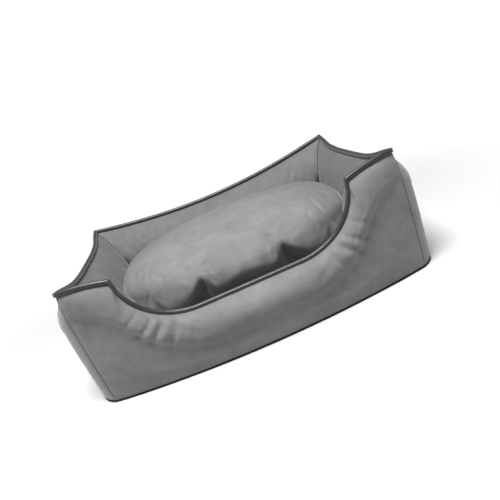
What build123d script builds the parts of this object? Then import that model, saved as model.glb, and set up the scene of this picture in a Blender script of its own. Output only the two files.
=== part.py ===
from build123d import *
import os
from itertools import pairwise
from math import asin, atan2, cos, radians, sin, sqrt

# A rectangular dog bed, as it lies on the floor. Four stuffed walls stand round a loose, domed
# cushion. Each wall is thick at its foot and runs out into a piped rim, the four rims rise to a
# tip at each corner, and the front one dips to a low step where the dog walks in.
# +X is along the bed, +Y is from the front step to the back wall, +Z is up. The origin is on the
# floor, under the middle of the bed. All lengths are millimetres.

# Plan of the walls. The corner is the plan point of a tip and of the upright seam below it.
corner_x = 354.0
corner_y = 246.0
wall_foot_depth = 62.0
long_base_bulge = 38.0
long_rim_bulge = 6.0
end_corner_round = 36.0
end_base_bulge = 10.0
end_rim_inset = 9.0

# Heights of the middle of the piping
tip_z = 262.0
back_rim_z = 224.0
end_rim_z = 238.0
step_rim_z = 127.0

# The front step, seen from the front: flat in the middle, then a quarter of an ellipse up to the ear
step_flat_half = 110.0
step_side_width = 138.0
ear_z = 247.0
ear_blunt = 6.0

# Fullness of the stuffed walls
outer_belly_share = 0.62
corner_belly_reach = 3.0
long_belly_reach = 9.0
end_belly_reach = 6.0
inner_belly_reach = 6.0
inner_belly_z = 90.0

# Materials of the cover
fabric = 2.0
ease = 0.4
piping_radius = 5.5
piping_overrun = 15.0
stuffing_drop = 1.5

# The base, from the floor up
base_fabric_height = 3.0
pad_height = 10.0
lining_height = 2.0

# The cushion
cushion_clearance = 1.0
cushion_foot_inset = 30.0
cushion_belly_z = 146.0
cushion_top_z = 222.0
cushion_dome_power = 2.8
cushion_foot_corner_share = 0.5
cushion_corner_share = 0.9
cushion_seam_z = 28.0

# Both zips are the same kind, and differ in length
cover_zip_length = 300.0
cover_zip_z = 24.0
cushion_zip_length = 320.0
zip_tape_width = 8.0
zip_tape_end = 8.0
zip_tape_height = 0.8
zip_coil_reach = 2.5
zip_coil_width = 1.8
zip_coil_height = 2.0
zip_window_half = 6.0
zip_stop_length = 2.0
slider_length = 12.0
slider_half_width = 4.6
slider_nose_half_width = 3.6
slider_blade = 1.0
slider_gap = 0.3
slider_flange = 0.8
slider_neck_length = 2.0
slider_neck_half = 0.35
bridge_length = 7.2
bridge_leg = 1.4
bridge_half_width = 1.2
bridge_rise = 1.9
bridge_top = 0.8
pull_length = 17.0
pull_half_width = 3.0
pull_height = 1.2
pull_eye_length = 3.8
pull_eye_half_width = 1.6
pull_hole_radius = 1.5

# Where the stations of each wall lie, as shares of the way from its middle to its corner
back_station_shares = (0, 0.22, 0.45, 0.6, 0.75, 0.88, 1)
end_station_shares = (0, 0.3, 0.55, 0.72, 0.82, 0.89, 0.94, 0.975, 1)
ear_station_shares = (0, 0.35, 0.7, 1)
step_station_degrees = (0, 12, 24, 36, 48, 60, 72, 84)
back_flat_share = 0.45
long_fan_power = 4
back_rise_power = 2
end_rise_power = 3.6
end_round_power = 11
end_inset_power = 6

foot_x = corner_x - wall_foot_depth
foot_y = corner_y - wall_foot_depth
cushion_half_length = foot_x - inner_belly_reach - cushion_clearance
cushion_half_width = foot_y - inner_belly_reach - cushion_clearance
base_top_z = base_fabric_height + ease
piping_seat = piping_radius + ease / 2
ear_x = step_flat_half + step_side_width
tip_belly_z = outer_belly_share * tip_z
os.makedirs("parts", exist_ok=True)


def save(piece, name):
    piece.part.label = name
    export_step(piece.part, f"parts/{name}.step")


# Shapes of the four rims and base lines, along a wall from its middle, 0, to its corner, 1 or -1
def fullness(share, flat=0.0):
    """1 over the flat middle of a wall, and 0 at its corner."""
    return 1 - max(0.0, (abs(share) - flat) / (1 - flat)) ** 2


def front_rim():
    """The middle line of the front piping, seen from the front: places along X, and heights."""
    turns = [radians(turn) for turn in step_station_degrees]
    rise = ear_z - step_rim_z
    step = [(step_flat_half + step_side_width * sin(turn), ear_z - rise * cos(turn)) for turn in turns]
    ear = [(ear_x, ear_z - ear_blunt)]
    ear_start_x = ear_x + ear_blunt
    for share in ear_station_shares:
        x = ear_start_x + (corner_x - ear_start_x) * share
        ear.append((x, tip_z - (tip_z - ear_z) * (1 - share) ** 2))
    half = [Vector(*place) for place in step + ear]
    return [Vector(-place.X, place.Y) for place in reversed(half)] + [Vector(0, step_rim_z)] + half


def mitre(before, place, after):
    """The way down off a rim at one of its places, as long as a mitre needs it for a depth of 1."""
    both = (place - before).normalized() + (after - place).normalized()
    return Vector(both.Y, -both.X) * (2 / both.length**2)


class Station:
    """One upright cut through a wall. It runs from the wall's inner foot outwards past its base line,
    and a place in it is a distance out from the foot and a height. The seam under the piping lies off
    the piping's middle by the drop, which has an X part where the rim is steep."""

    def __init__(self, wall, share, rim_z, drop=Vector(0, -piping_seat)):
        long_wall = wall in ("front", "back")
        side = 1 if wall in ("back", "right") else -1
        full = fullness(share, back_flat_share if wall == "back" else 0.0)
        if long_wall:
            depth = wall_foot_depth + long_base_bulge * full
            rim_depth = wall_foot_depth + long_rim_bulge * full
            reach = corner_belly_reach + (long_belly_reach - corner_belly_reach) * full
            aslant = wall_foot_depth * abs(share) ** long_fan_power * (1 if share > 0 else -1)
            foot = Vector(corner_x * share - aslant, side * foot_y)
            way = Vector(aslant / rim_depth, side)
        else:
            rounding = end_corner_round * (1 - abs(share) ** end_round_power)
            depth = wall_foot_depth + rounding + end_base_bulge * full
            rim_depth = wall_foot_depth - end_rim_inset * (1 - abs(share) ** end_inset_power)
            reach = corner_belly_reach + (end_belly_reach - corner_belly_reach) * full
            foot = Vector(side * foot_x, foot_y * share)
            way = Vector(side, (corner_y - foot_y) * share / depth)
        if wall == "front":
            self.outer_belly_z = outer_belly_share * rim_z
        else:
            middle_belly_z = outer_belly_share * (back_rim_z if long_wall else end_rim_z)
            self.outer_belly_z = tip_belly_z + (middle_belly_z - tip_belly_z) * full
        self.plane = Plane((foot.X, foot.Y, 0), x_dir=(way.X, way.Y, 0), z_dir=(way.Y, -way.X, 0))
        self.stretch = way.length
        self.base = depth * self.stretch
        self.rim = rim_depth * self.stretch
        self.seam_z = rim_z + drop.Y
        self.outer_belly = self.base + reach * self.stretch
        self.inner_belly = -inner_belly_reach * self.stretch
        self.inner_belly_z = inner_belly_z * min(1.0, rim_z / back_rim_z)
        base = foot + way * depth
        self.base_point = (base.X, base.Y)
        self.rim_point = self.plane.from_local_coords((self.rim, rim_z)) - Vector(drop.X)


class Side:
    """One face of a wall, in a station: two arcs that meet upright at the belly, one down to the foot or
    the base line, and one up to the rim. Depth is measured into the wall from that face."""

    def __init__(self, station, outer):
        self.sign = 1 if outer else -1
        self.belly = station.outer_belly if outer else station.inner_belly
        self.belly_z = station.outer_belly_z if outer else station.inner_belly_z
        self.low_radius = self.radius_to(station.base if outer else 0.0, base_top_z)
        self.high_radius = self.radius_to(station.rim, station.seam_z)

    def radius_to(self, end, end_z):
        reach = abs(self.belly - end)
        return (reach**2 + (end_z - self.belly_z) ** 2) / (2 * reach)

    def at_height(self, z, depth):
        radius = self.low_radius if z < self.belly_z else self.high_radius
        inset = radius - sqrt((radius - depth) ** 2 - (z - self.belly_z) ** 2)
        return (self.belly - self.sign * inset, z)

    def under_rim(self, out, depth):
        """The place on the upper arc at the distance out from the foot."""
        along = self.sign * (out - self.belly) + self.high_radius
        return (out, self.belly_z + sqrt((self.high_radius - depth) ** 2 - along**2))

    def at_belly(self, depth):
        return (self.belly - self.sign * depth, self.belly_z)

    def arc(self, start, end, depth):
        """The arc between two places at one depth, both above the belly or both below it."""
        low = min(start[1], end[1]) < self.belly_z
        face_radius = self.low_radius if low else self.high_radius
        centre = self.belly - self.sign * face_radius
        turns = [atan2(p[1] - self.belly_z, self.sign * (p[0] - centre)) for p in (start, end)]
        half = sum(turns) / 2
        radius = face_radius - depth
        middle = (centre + self.sign * radius * cos(half), self.belly_z + radius * sin(half))
        ThreePointArc(start, middle, end)


def stations(wall):
    if wall == "front":
        rim = front_rim()
        drops = [Vector(0, -1)] + [mitre(*rim[place - 1 : place + 2]) for place in range(1, len(rim) - 1)]
        drops = [drop * piping_seat for drop in drops + [Vector(0, -1)]]
        return [Station(wall, (at.X + drop.X) / corner_x, at.Y, drop) for at, drop in zip(rim, drops)]
    half, low, power = back_station_shares, back_rim_z, back_rise_power
    if wall != "back":
        half, low, power = end_station_shares, end_rim_z, end_rise_power
    shares = [-share for share in reversed(half[1:])] + list(half)
    return [Station(wall, share, low + (tip_z - low) * abs(share) ** power) for share in shares]


def panel_section(station, outer):
    """One layer of fabric, from the base seam up to the seam under the piping."""
    side = Side(station, outer)
    seam = station.rim + side.sign * ease / 2
    face = (side.at_height(base_top_z, 0), side.at_belly(0), side.under_rim(seam, 0))
    back = (side.under_rim(seam, fabric), side.at_belly(fabric), side.at_height(base_top_z, fabric))
    with BuildSketch(station.plane) as section:
        with BuildLine():
            side.arc(face[0], face[1], 0)
            side.arc(face[1], face[2], 0)
            Line(face[2], back[0])
            side.arc(back[0], back[1], fabric)
            side.arc(back[1], back[2], fabric)
            Line(back[2], face[0])
        make_face()
    return section.sketch


def stuffing_section(station):
    """The stuffing between the two layers, which stops short of the seam under the piping."""
    depth = fabric + ease
    outer, inner = Side(station, True), Side(station, False)
    top_z = min(side.under_rim(station.rim, depth)[1] for side in (outer, inner)) - stuffing_drop
    bottom_z = base_top_z
    outline = [
        (outer, outer.at_height(bottom_z, depth), outer.at_belly(depth)),
        (outer, outer.at_belly(depth), outer.at_height(top_z, depth)),
        (inner, inner.at_height(top_z, depth), inner.at_belly(depth)),
        (inner, inner.at_belly(depth), inner.at_height(bottom_z, depth)),
    ]
    with BuildSketch(station.plane) as section:
        with BuildLine():
            for side, start, end in outline:
                side.arc(start, end, depth)
            Line(outline[1][2], outline[2][1])
            Line(outline[3][2], outline[0][1])
        make_face()
    return section.sketch


class ZipPlace:
    """Where a zip lies: flat on a face, with X along it, Y up the face and Z out of it."""

    def __init__(self, y, z, lean, length):
        self.plane = Plane((0, y, z), x_dir=(-1, 0, 0), z_dir=(0, cos(lean), -sin(lean)))
        self.length = length
        self.slider_at = length / 2 - slider_length / 2 - slider_gap

    def at(self, height):
        return self.plane.offset(height)

    def slider(self, height):
        """The slider is parked at the closed end."""
        origin = self.plane.from_local_coords((self.slider_at, 0, height))
        return Plane(origin, x_dir=self.plane.x_dir, z_dir=self.plane.z_dir)


def cut_zip_window(place):
    """The slit behind the zip, where the fabric opens."""
    with BuildSketch(place.at(-2 * fabric)) as slit:
        Rectangle(place.length, 2 * zip_window_half)
    extrude(slit.sketch, amount=3 * fabric, mode=Mode.SUBTRACT)


# Walls: stuffing, outer and inner fabric
walls = {wall: stations(wall) for wall in ("front", "right", "back", "left")}

# The cover's zip lies along the foot of the back wall, outside, where the wall is straight
back_face = Side(walls["back"][len(back_station_shares) - 1], True)
cover_zip_lean = asin((back_face.belly_z - cover_zip_z) / back_face.low_radius)
cover_zip_y = foot_y + back_face.at_height(cover_zip_z, 0)[0]
cover_zip = ZipPlace(cover_zip_y, cover_zip_z, cover_zip_lean, cover_zip_length)

for wall, cuts in walls.items():
    with BuildPart() as stuffing:
        loft([stuffing_section(cut) for cut in cuts], ruled=True)
    save(stuffing, f"{wall}_bolster")
    for outer in (True, False):
        with BuildPart() as panel:
            loft([panel_section(cut, outer) for cut in cuts], ruled=True)
            if outer and wall == "back":
                cut_zip_window(cover_zip)
        save(panel, f"{wall}_{'outer' if outer else 'inner'}_panel")

# Piping: a fabric-covered cord on each rim. It is made too long, and cut on the corners' upright
# planes, where neighbours meet at a tip.
for wall, cuts in walls.items():
    points = [cut.rim_point for cut in cuts]
    points[0] += (points[0] - points[1]).normalized() * piping_overrun
    points[-1] += (points[-1] - points[-2]).normalized() * piping_overrun
    steps = [(after - before).normalized() for before, after in pairwise(points)]
    ways = [before + after for before, after in zip(steps[:1] + steps, steps + steps[-1:])]
    rings = []
    for cut, point, way in zip(cuts, points, ways):
        across = cut.plane.x_dir - way * (cut.plane.x_dir.dot(way) / way.length**2)
        with BuildSketch(Plane(point, x_dir=across, z_dir=way)) as ring:
            Circle(piping_radius)
        rings.append(ring.sketch)
    with BuildPart() as piping:
        for pair in pairwise(rings):
            loft(pair, ruled=True)
        for cut, way in ((cuts[0], ways[0]), (cuts[-1], -ways[-1])):
            inwards = cut.plane.z_dir if cut.plane.z_dir.dot(way) > 0 else -cut.plane.z_dir
            split(bisect_by=Plane(cut.plane.origin, x_dir=cut.plane.x_dir, z_dir=inwards), keep=Keep.TOP)
    save(piping, f"{wall}_piping")

# Base: grippy fabric under everything, then a stiff pad and a lining inside the walls' feet
base_outline = []
for wall, flip in (("front", False), ("right", False), ("back", True), ("left", True)):
    line = [cut.base_point for cut in walls[wall]]
    base_outline += (line[::-1] if flip else line)[:-1]
with BuildPart() as base_fabric:
    with BuildSketch():
        with BuildLine():
            Polyline(*base_outline, close=True)
        make_face()
    extrude(amount=base_fabric_height)
save(base_fabric, "base_fabric")

pad_top_z = base_top_z + pad_height
lining_bottom_z = pad_top_z + ease
floor_z = lining_bottom_z + lining_height
# The walls lean in over the floor, and most at the lining's top
floor_lean = min(Side(cut, False).at_height(floor_z, 0)[0] for cuts in walls.values() for cut in cuts)
floor_length = 2 * (foot_x + floor_lean - ease)
floor_width = 2 * (foot_y + floor_lean - ease)
with BuildPart() as base_pad:
    with BuildSketch(Plane.XY.offset(base_top_z)):
        Rectangle(floor_length, floor_width)
    extrude(amount=pad_height)
save(base_pad, "base_pad")
with BuildPart() as floor_lining:
    with BuildSketch(Plane.XY.offset(lining_bottom_z)):
        Rectangle(floor_length, floor_width)
    extrude(amount=lining_height)
save(floor_lining, "floor_lining")

# Cushion: the side swells from the foot to the belly, and a full dome closes it above
cushion_foot_z = floor_z + ease
side_rise = cushion_belly_z - cushion_foot_z
dome_rise = cushion_top_z - cushion_belly_z
side_radius = (cushion_foot_inset**2 + side_rise**2) / (2 * cushion_foot_inset)
side_level_shares = (0, 0.2, 0.55)
dome_level_degrees = (0, 14, 28, 42, 56, 68, 78, 85)


def cushion_side_inset(z, depth):
    """How far in from the belly the side is, below the belly."""
    return side_radius - sqrt((side_radius - depth) ** 2 - (z - cushion_belly_z) ** 2)


def cushion_outlines(depth, from_z):
    """The cushion's outlines from one height up to the crown, at a depth below its face."""
    levels = []
    for share in side_level_shares:
        z = max(from_z, cushion_foot_z + side_rise * share)
        inset = cushion_side_inset(z, depth)
        corner = cushion_foot_corner_share + (cushion_corner_share - cushion_foot_corner_share) * share
        levels.append((cushion_half_length - inset, cushion_half_width - inset, corner, z))
    for turn in dome_level_degrees:
        narrowing, rising = (part(radians(turn)) ** (2 / cushion_dome_power) for part in (cos, sin))
        half_length, half_width = cushion_half_length - depth, cushion_half_width - depth
        z = cushion_belly_z + (dome_rise - depth) * rising
        levels.append((half_length * narrowing, half_width * narrowing, cushion_corner_share, z))
    outlines = []
    for half_length, half_width, corner, z in levels:
        with BuildSketch(Plane.XY.offset(z)) as outline:
            RectangleRounded(2 * half_length, 2 * half_width, corner * half_width)
        outlines.append(outline.sketch)
    return outlines


# The cushion's zip lies in the seam between its two panels, along the back
cushion_zip_y = cushion_half_width - cushion_side_inset(cushion_seam_z, 0)
cushion_zip_lean = asin((cushion_belly_z - cushion_seam_z) / side_radius)
cushion_zip = ZipPlace(cushion_zip_y, cushion_seam_z, cushion_zip_lean, cushion_zip_length)

with BuildPart() as cushion_fill:
    loft(cushion_outlines(fabric + ease, cushion_foot_z + fabric + ease), ruled=True)
save(cushion_fill, "cushion_fill")

for name, keep, seam in (("top", Keep.TOP, ease / 2), ("bottom", Keep.BOTTOM, -ease / 2)):
    with BuildPart() as panel:
        loft(cushion_outlines(0, cushion_foot_z), ruled=True)
        loft(cushion_outlines(fabric, cushion_foot_z + fabric), ruled=True, mode=Mode.SUBTRACT)
        split(bisect_by=Plane.XY.offset(cushion_seam_z + seam), keep=keep)
        cut_zip_window(cushion_zip)
    save(panel, f"cushion_{name}_panel")

# Zips
blade_bottom = ease + zip_coil_height + slider_gap
blade_top = blade_bottom + slider_blade
hinge_height = blade_top + bridge_rise / 2


def build_zip(name, place):
    for half, side in (("upper", 1), ("lower", -1)):
        with BuildPart() as tape:
            with BuildSketch(place.at(ease)):
                with Locations((0, side * (zip_coil_reach + zip_tape_width / 2))):
                    Rectangle(place.length + 2 * zip_tape_end, zip_tape_width)
            extrude(amount=zip_tape_height)
        save(tape, f"{name}_zip_{half}_tape")
        with BuildPart() as coil:
            with BuildSketch(place.at(ease)):
                with Locations((0, side * (zip_coil_reach - zip_coil_width / 2))):
                    Rectangle(place.length, zip_coil_width)
            extrude(amount=zip_coil_height)
        save(coil, f"{name}_zip_{half}_coil")

    for end_name, end in (("closed", 1), ("open", -1)):
        with BuildPart() as stop:
            with BuildSketch(place.at(ease)):
                with Locations((end * (place.length + zip_stop_length) / 2, 0)):
                    Rectangle(zip_stop_length, 2 * zip_coil_reach)
            extrude(amount=blade_top - ease)
        save(stop, f"{name}_zip_{end_name}_stop")

    with BuildPart() as slider:
        blade_corners = [
            (-slider_length / 2, -slider_half_width),
            (slider_length / 2, -slider_nose_half_width),
            (slider_length / 2, slider_nose_half_width),
            (-slider_length / 2, slider_half_width),
        ]
        back_blade = ease - slider_gap - slider_blade
        for height in (blade_bottom, back_blade):
            with BuildSketch(place.slider(height)):
                with BuildLine():
                    Polyline(*blade_corners, close=True)
                make_face()
            extrude(amount=slider_blade)
        with BuildSketch(place.slider(back_blade)):
            with Locations(((slider_length - slider_neck_length) / 2, 0)):
                Rectangle(slider_neck_length, 2 * slider_neck_half)
        extrude(amount=blade_top - back_blade)
        flange_bottom = ease + zip_tape_height + slider_gap
        with BuildSketch(place.slider(flange_bottom)):
            for side in (-1, 1):
                with Locations((0, side * (slider_nose_half_width - slider_flange / 2))):
                    Rectangle(slider_length, slider_flange)
        extrude(amount=blade_top - flange_bottom)
        with BuildSketch(place.slider(blade_top)):
            for end in (-1, 1):
                with Locations((end * (bridge_length - bridge_leg) / 2, 0)):
                    Rectangle(bridge_leg, 2 * bridge_half_width)
        extrude(amount=bridge_rise + bridge_top)
        with BuildSketch(place.slider(blade_top + bridge_rise)):
            Rectangle(bridge_length, 2 * bridge_half_width)
        extrude(amount=bridge_top)
    save(slider, f"{name}_zip_slider")

    with BuildPart() as pull:
        with BuildSketch(place.slider(hinge_height - pull_height / 2)):
            with Locations((-(pull_length - pull_height) / 2, 0)):
                RectangleRounded(pull_length, 2 * pull_half_width, pull_height / 2)
            with Locations((-(pull_height + pull_eye_length) / 2, 0)):
                Rectangle(pull_eye_length, 2 * pull_eye_half_width, mode=Mode.SUBTRACT)
            with Locations((-pull_length + 2 * pull_half_width, 0)):
                Circle(pull_hole_radius, mode=Mode.SUBTRACT)
        extrude(amount=pull_height)
    save(pull, f"{name}_zip_pull")


build_zip("cover", cover_zip)
build_zip("cushion", cushion_zip)
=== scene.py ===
# %% [markdown]
# # A rectangular dog bed with piped rims
#
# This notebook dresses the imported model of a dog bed. Four stuffed walls stand round a loose,
# domed cushion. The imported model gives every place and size. It is loaded first, and nothing
# here moves it. The bed's sizes are written in millimetres and turned to metres once, when a
# piece gets its mesh. Only the camera, the floor and the lamps are placed in metres.

from math import asin, cos, pi, radians, sin, sqrt

import bmesh
import bpy
import numpy as np
from mathutils import Matrix, Vector


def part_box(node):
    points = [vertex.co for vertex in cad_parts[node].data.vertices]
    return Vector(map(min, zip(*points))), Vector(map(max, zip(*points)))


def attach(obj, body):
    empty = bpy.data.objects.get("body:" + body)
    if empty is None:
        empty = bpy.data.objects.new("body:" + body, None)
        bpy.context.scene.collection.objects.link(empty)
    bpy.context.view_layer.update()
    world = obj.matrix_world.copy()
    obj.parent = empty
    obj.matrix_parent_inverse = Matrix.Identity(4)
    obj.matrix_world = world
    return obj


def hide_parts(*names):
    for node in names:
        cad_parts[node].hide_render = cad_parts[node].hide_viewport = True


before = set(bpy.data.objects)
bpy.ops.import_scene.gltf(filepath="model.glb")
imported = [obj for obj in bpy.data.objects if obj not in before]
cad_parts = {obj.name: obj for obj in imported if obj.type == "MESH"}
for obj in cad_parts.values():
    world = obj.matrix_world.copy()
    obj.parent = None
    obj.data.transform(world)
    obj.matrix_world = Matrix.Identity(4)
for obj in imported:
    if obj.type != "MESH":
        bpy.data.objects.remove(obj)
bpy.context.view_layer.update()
scene = bpy.context.scene
MM = 0.001

# %% [markdown]
# ## The camera
#
# The photograph was taken from in front and a little above, with the camera rolled, so the bed
# runs up to the right. A camera could be aimed with a Track To constraint, but a roll is easier
# to give as three directions: where right, up and back point. The lens follows from the
# distance in pixels at which the outline of the bed fits.

# %% The camera
camera_place = (0, -1.131, 0.489)
camera_pitch, camera_yaw, camera_roll = radians(18.64), radians(1.57), radians(22.93)
focal_pixels, picture_pixels, sensor_width = 475, 500, 36
ahead = Vector((sin(camera_yaw) * cos(camera_pitch), cos(camera_yaw) * cos(camera_pitch), -sin(camera_pitch)))
level_right = Vector((cos(camera_yaw), -sin(camera_yaw), 0))
level_up = level_right.cross(ahead)
right = cos(camera_roll) * level_right - sin(camera_roll) * level_up
up = sin(camera_roll) * level_right + cos(camera_roll) * level_up
camera = bpy.data.objects.new("camera", bpy.data.cameras.new("camera"))
scene.collection.objects.link(camera)
directions = Matrix((right, up, -ahead)).transposed().to_4x4()
camera.matrix_world = Matrix.Translation(camera_place) @ directions
camera.data.sensor_width = sensor_width
camera.data.lens = sensor_width * focal_pixels / picture_pixels
scene.camera = camera
print("the camera looks", [round(v, 3) for v in ahead], "through a lens of", round(camera.data.lens, 1), "mm")

# %% [markdown]
# ## Materials: a few small helpers
#
# Colours are chosen as sRGB hex values, as in a paint program, but Blender's sockets want
# linear light, so one function turns them. Another adds a node with its settings and links. The
# others start a material with a Principled surface, mix two colours by a pattern, and lay the
# colour and the relief on the surface.


# %% Helpers for materials
def linear(hex_colour):
    """The linear colour of an sRGB hex value."""
    shares = [int(hex_colour[place : place + 2], 16) / 255 for place in (0, 2, 4)]
    return [v / 12.92 if v <= 0.04045 else ((v + 0.055) / 1.055) ** 2.4 for v in shares] + [1]


def output_of(source):
    """The first output of a node, or the output itself if one is given."""
    return source.outputs[0] if isinstance(source, bpy.types.Node) else source


def add(material, kind, inputs=None, **settings):
    """One node with its settings. An input is a value, another node's output, or a node, which stands
    for its first output."""
    node = material.node_tree.nodes.new(kind)
    for name, value in settings.items():
        setattr(node, name, value)
    for socket, value in (inputs or {}).items():
        if isinstance(value, (bpy.types.Node, bpy.types.NodeSocket)):
            material.node_tree.links.new(output_of(value), node.inputs[socket])
        else:
            node.inputs[socket].default_value = value
    return node


def start(name, **values):
    """A material with one Principled surface, whose plain values are set on its own sockets."""
    material = bpy.data.materials.new(name)
    material.use_nodes = True
    surface = material.node_tree.nodes["Principled BSDF"]
    for socket, value in values.items():
        surface.inputs[socket.replace("_", " ")].default_value = value
    return material, surface


def shade_between(material, factor, dark, light, low, high):
    """Two colours mixed by a pattern, between two of its values."""
    ramp = add(material, "ShaderNodeValToRGB", {"Fac": factor})
    for element, place, colour in zip(ramp.color_ramp.elements, (low, high), (dark, light)):
        element.position = place
        element.color = linear(colour)
    return ramp


def lay_on(material, surface, colour, relief):
    """The surface takes its colour and its relief from these nodes, and the material is ready."""
    material.node_tree.links.new(output_of(colour), surface.inputs["Base Color"])
    material.node_tree.links.new(output_of(relief), surface.inputs["Normal"])
    return material


print("the middle grey 808080 is", round(linear("808080")[0], 3), "in linear light")

# %% [markdown]
# ## Velvet
#
# The cover is a short-pile polyester velvet. Its pile leans, so broad patches of it look lighter
# or darker as if stroked, and it glows a little at grazing angles. A tiled picture of cloth would
# repeat and show its seams, so the patches are noise, at two sizes: about 90 mm, or 60 mm on the
# piping, and 18 mm. The pile itself is finer than the picture shows, so it is drawn as grain of
# about 1.5 mm, coarse enough to take the smoothness away. Polyester keeps the usual IOR of 1.5, and
# its fibres scatter light, so it is rough. The glow is the sheen of the Principled surface. The
# piping is the same cloth cut on the bias, given a darker colour as painted shade, and its pile is
# pressed flat, so it is glossier. The inner faces get a darker copy of the velvet as painted shade.

# %% Velvet
stroke_mm, grain_mm = 18, 1.5


def velvet(name, dark, light, patch_mm, grain_strength, glow, gloss, roughness):
    """Patches and strokes give the colour, and strokes and grain the relief."""
    material, surface = start(
        name, Roughness=roughness, Sheen_Weight=glow, Sheen_Roughness=0.35, Specular_IOR_Level=gloss
    )
    place = add(material, "ShaderNodeTexCoord").outputs["Object"]
    patches = add(
        material,
        "ShaderNodeTexNoise",
        {"Vector": place, "Scale": 1000 / patch_mm, "Detail": 4, "Roughness": 0.55, "Distortion": 0.6},
    )
    strokes = add(
        material,
        "ShaderNodeTexNoise",
        {"Vector": place, "Scale": 1000 / stroke_mm, "Detail": 3, "Roughness": 0.6},
    )
    both = add(material, "ShaderNodeMix", {"Factor": 0.4, "A": patches, "B": strokes})
    colour = shade_between(material, both, dark, light, 0.36, 0.66)
    grain = add(material, "ShaderNodeTexNoise", {"Vector": place, "Scale": 1000 / grain_mm, "Detail": 2})
    pile = add(
        material, "ShaderNodeBump", {"Height": grain, "Strength": grain_strength, "Distance": 0.6 * MM}
    )
    lean = add(
        material, "ShaderNodeBump", {"Height": strokes, "Strength": 0.5, "Distance": 1.2 * MM, "Normal": pile}
    )
    return lay_on(material, surface, colour, lean)


# On the panels the strokes show as soft light and dark, and folds get a pale edge from the sheen
cover_velvet = velvet("polyester_velvet_short_pile", "858687", "979899", 90, 0.3, 0.5, 0.3, 0.6)
# Flattened pile catches a thin line of light along the top of the piping. Its darker colour is painted shade
piping_cloth_painted_shade = velvet("polyester_velvet_piping_painted_shade", "383939", "474848", 60, 0.2, 0.6, 0.75, 0.38)
# The inner faces and the lining get a darker copy of the velvet as painted shade, with the same soft strokes
inner_velvet_painted_shade = velvet("polyester_velvet_painted_shade_inside", "737475", "838485", 90, 0.3, 0.5, 0.3, 0.6)
print("velvets:", cover_velvet.name, piping_cloth_painted_shade.name, inner_velvet_painted_shade.name)

# %% [markdown]
# ## The bed's own lines
#
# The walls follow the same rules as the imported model: a base line, a rim line, and a section
# whose two faces are two arcs each, meeting upright at the belly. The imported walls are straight
# between a few sections. They could be smoothed with Subdivision Surface, which would draw the
# sharp tips in. Here the same section is worked out at every column of a fine grid instead.

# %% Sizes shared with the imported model
corner_x, corner_y, foot_depth = 354.0, 246.0, 62.0
foot_x, foot_y = corner_x - foot_depth, corner_y - foot_depth
tip_z, back_rim_z, end_rim_z, step_rim_z = 262.0, 224.0, 238.0, 127.0
step_flat_half, step_side_width, ear_z = 110.0, 138.0, 247.0
ear_x = step_flat_half + step_side_width
base_z = 3.4
back_rise_power, end_rise_power = 2, 3.6
back_flat_share, long_fan_power = 0.45, 4
long_base_bulge, long_rim_bulge, end_base_bulge = 38, 6, 10
end_round_power, end_rim_inset, end_inset_power = 11, 9, 6
corner_belly_reach, long_belly_reach, end_belly_reach = 3, 9, 6
inner_belly_reach, inner_belly_z = 6.0, 90
print("the corner tips stand", tip_z, "mm high and", 2 * corner_x, "mm apart along the bed")

# %% Sizes that only the dressed walls have
end_corner_round = 33
belly_share, corner_belly_rise = 0.7, 30
# The front wall's belly, at places across. It dips under the step and climbs to the ears
belly_places = (0, 110, 150, 193, 225, 240, 269, 305, 354)
belly_heights = (84, 86, 94, 114, 140, 160, 200, 226, 230)
belly_shifts = (-16, -8, 0, 8, 16)
# Below its belly the front wall draws in: how deep, over how far from a corner that grows, and how
# far below the belly it is deepest
undercut, undercut_fade, undercut_drop = 9.5, 30.0, 42
# How far this spreads above and below there and off the foot, and what share of it is even
undercut_above, undercut_below, undercut_foot, undercut_even = 19, 65, 24, 0.75
# The seam lies this far below the middle of the piping
seam_drop = 3.0
# Close to a tip the rim draws in a little. The first number is how far, the second how close
tip_draw, tip_reach = 2.5, 45.0
# The rim turns from the step to the ear over these places, off the ear's corner
ear_turn, ear_turn_end = ((-0.2, -5), (0.6, -1.2), (3, 0)), 4
print("the front wall's belly lies between", min(belly_heights), "and", max(belly_heights), "mm")


# %% The rims
def full(share, flat=0.0):
    """How full a wall is: 1 over its flat middle and 0 at its corner."""
    return 1 - max(0.0, (abs(share) - flat) / (1 - flat)) ** 2


def spaced(points, step):
    """Points at even steps along a line."""
    points = np.array(points, float)
    along = np.concatenate([[0], np.cumsum(np.linalg.norm(np.diff(points, axis=0), axis=1))])
    wanted = np.linspace(0, along[-1], int(round(along[-1] / step)) + 1)
    return np.stack([np.interp(wanted, along, points[:, axis]) for axis in range(points.shape[1])], 1)


def front_rim(step):
    """The front rim seen from the front, as places along X and heights."""
    turns = np.radians(np.linspace(0, 80, 60))
    rise = ear_z - step_rim_z
    half = [(step_flat_half + step_side_width * sin(t), ear_z - rise * cos(t)) for t in turns]
    half += [(ear_x + x, ear_z + z) for x, z in ear_turn]
    start_x = ear_x + ear_turn_end
    for share in np.linspace(0.05, 1, 20):
        half.append((start_x + (corner_x - start_x) * share, tip_z - (tip_z - ear_z) * (1 - share) ** 2))
    mirrored = [(-x, z) for x, z in reversed(half)]
    return spaced(mirrored + half, step)


def rim_places(wall, step):
    """Shares along a wall from corner to corner, with the rim's height at each."""
    if wall == "front":
        return [(x / corner_x, z) for x, z in front_rim(step)]
    low, power, half = back_rim_z, back_rise_power, corner_x
    if wall != "back":
        low, power, half = end_rim_z, end_rise_power, corner_y
    shares = np.linspace(-1, 1, int(2 * half / step) + 1)
    return [(s, low + (tip_z - low) * abs(s) ** power) for s in shares]


print("every 7 mm, the front rim has", len(front_rim(7.0)), "points")


# %% One section of a wall
def smooth_line(at, places, heights, shifts):
    """The height of a line through given points, averaged over a few shifts so that it has no corners."""
    return sum(np.interp(at + shift, places, heights) for shift in shifts) / len(shifts)


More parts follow.
